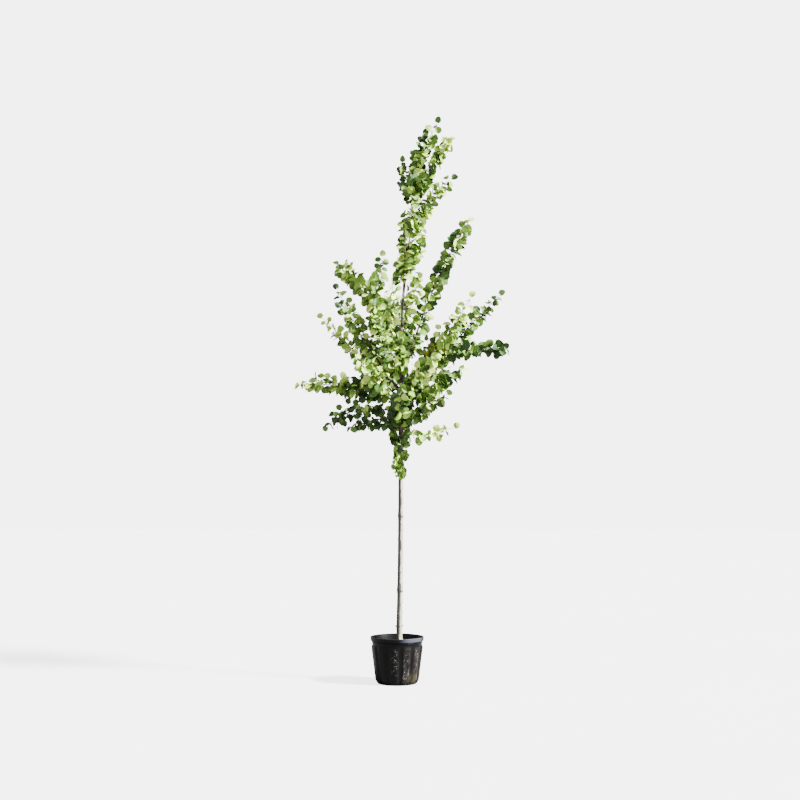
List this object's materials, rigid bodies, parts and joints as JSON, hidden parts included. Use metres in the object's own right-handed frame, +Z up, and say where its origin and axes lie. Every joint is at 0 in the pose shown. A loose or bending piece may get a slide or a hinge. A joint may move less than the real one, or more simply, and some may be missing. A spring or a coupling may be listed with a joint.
{
  "type": "potted katsura sapling",
  "caption": "Slim young shade tree standing in a fluted nursery pot, with a clear straight stem, steep boughs and an open pyramid of small round paired leaves.",
  "frame": {"origin": "middle of the pot's flat underside, on the surface that the pot stands on", "axes": "+Z up along the trunk, +X to the viewer's right where the leader leans, +Y to the back"},
  "size_m": [1.6361, 1.1422, 4.2784],
  "materials": {
    "bark": "pale grey-beige young bark with darker rings and lenticels",
    "young_bark": "smooth dark brown shoots",
    "leaf": "soft satin green leaves on slim twigs",
    "pot": "black moulded nursery plastic, dusty on its flutes",
    "potting_mix": "dark crumbly bark and peat"
  },
  "bodies": {
    "root": {"pot": "pot", "potting_mix": "potting_mix", "trunk": "bark", "back_high_bough": "young_bark", "back_left_bough": "young_bark", "back_right_bough": "young_bark", "front_high_bough": "young_bark", "front_left_bough": "young_bark", "front_right_bough": "young_bark", "left_high_bough": "young_bark", "left_long_bough": "young_bark", "left_low_bough": "young_bark", "left_middle_bough": "young_bark", "left_raised_bough": "young_bark", "left_steep_bough": "young_bark", "right_high_bough": "young_bark", "right_long_bough": "young_bark", "right_low_bough": "young_bark", "right_middle_bough": "young_bark", "right_steep_bough": "young_bark", "side_leader_bough": "young_bark", "back_high_leaves": "leaf", "back_left_leaves": "leaf", "back_low_leaves": "leaf", "back_right_leaves": "leaf", "front_high_leaves": "leaf", "front_left_leaves": "leaf", "front_low_leaves": "leaf", "front_right_leaves": "leaf", "leader_leaves": "leaf", "left_crest_leaves": "leaf", "left_foot_leaves": "leaf", "left_high_leaves": "leaf", "left_long_leaves": "leaf", "left_low_leaves": "leaf", "left_middle_leaves": "leaf", "left_raised_leaves": "leaf", "left_steep_leaves": "leaf", "left_tip_leaves": "leaf", "right_crest_leaves": "leaf", "right_foot_leaves": "leaf", "right_high_leaves": "leaf", "right_long_leaves": "leaf", "right_low_leaves": "leaf", "right_lower_leaves": "leaf", "right_middle_leaves": "leaf", "right_steep_leaves": "leaf", "right_tip_leaves": "leaf", "side_leader_leaves": "leaf", "trunk_foot_leaves": "leaf", "trunk_sprouts_leaves": "leaf", "trunk_top_leaves": "leaf", "trunk_upper_leaves": "leaf"}
  },
  "joints": []
}
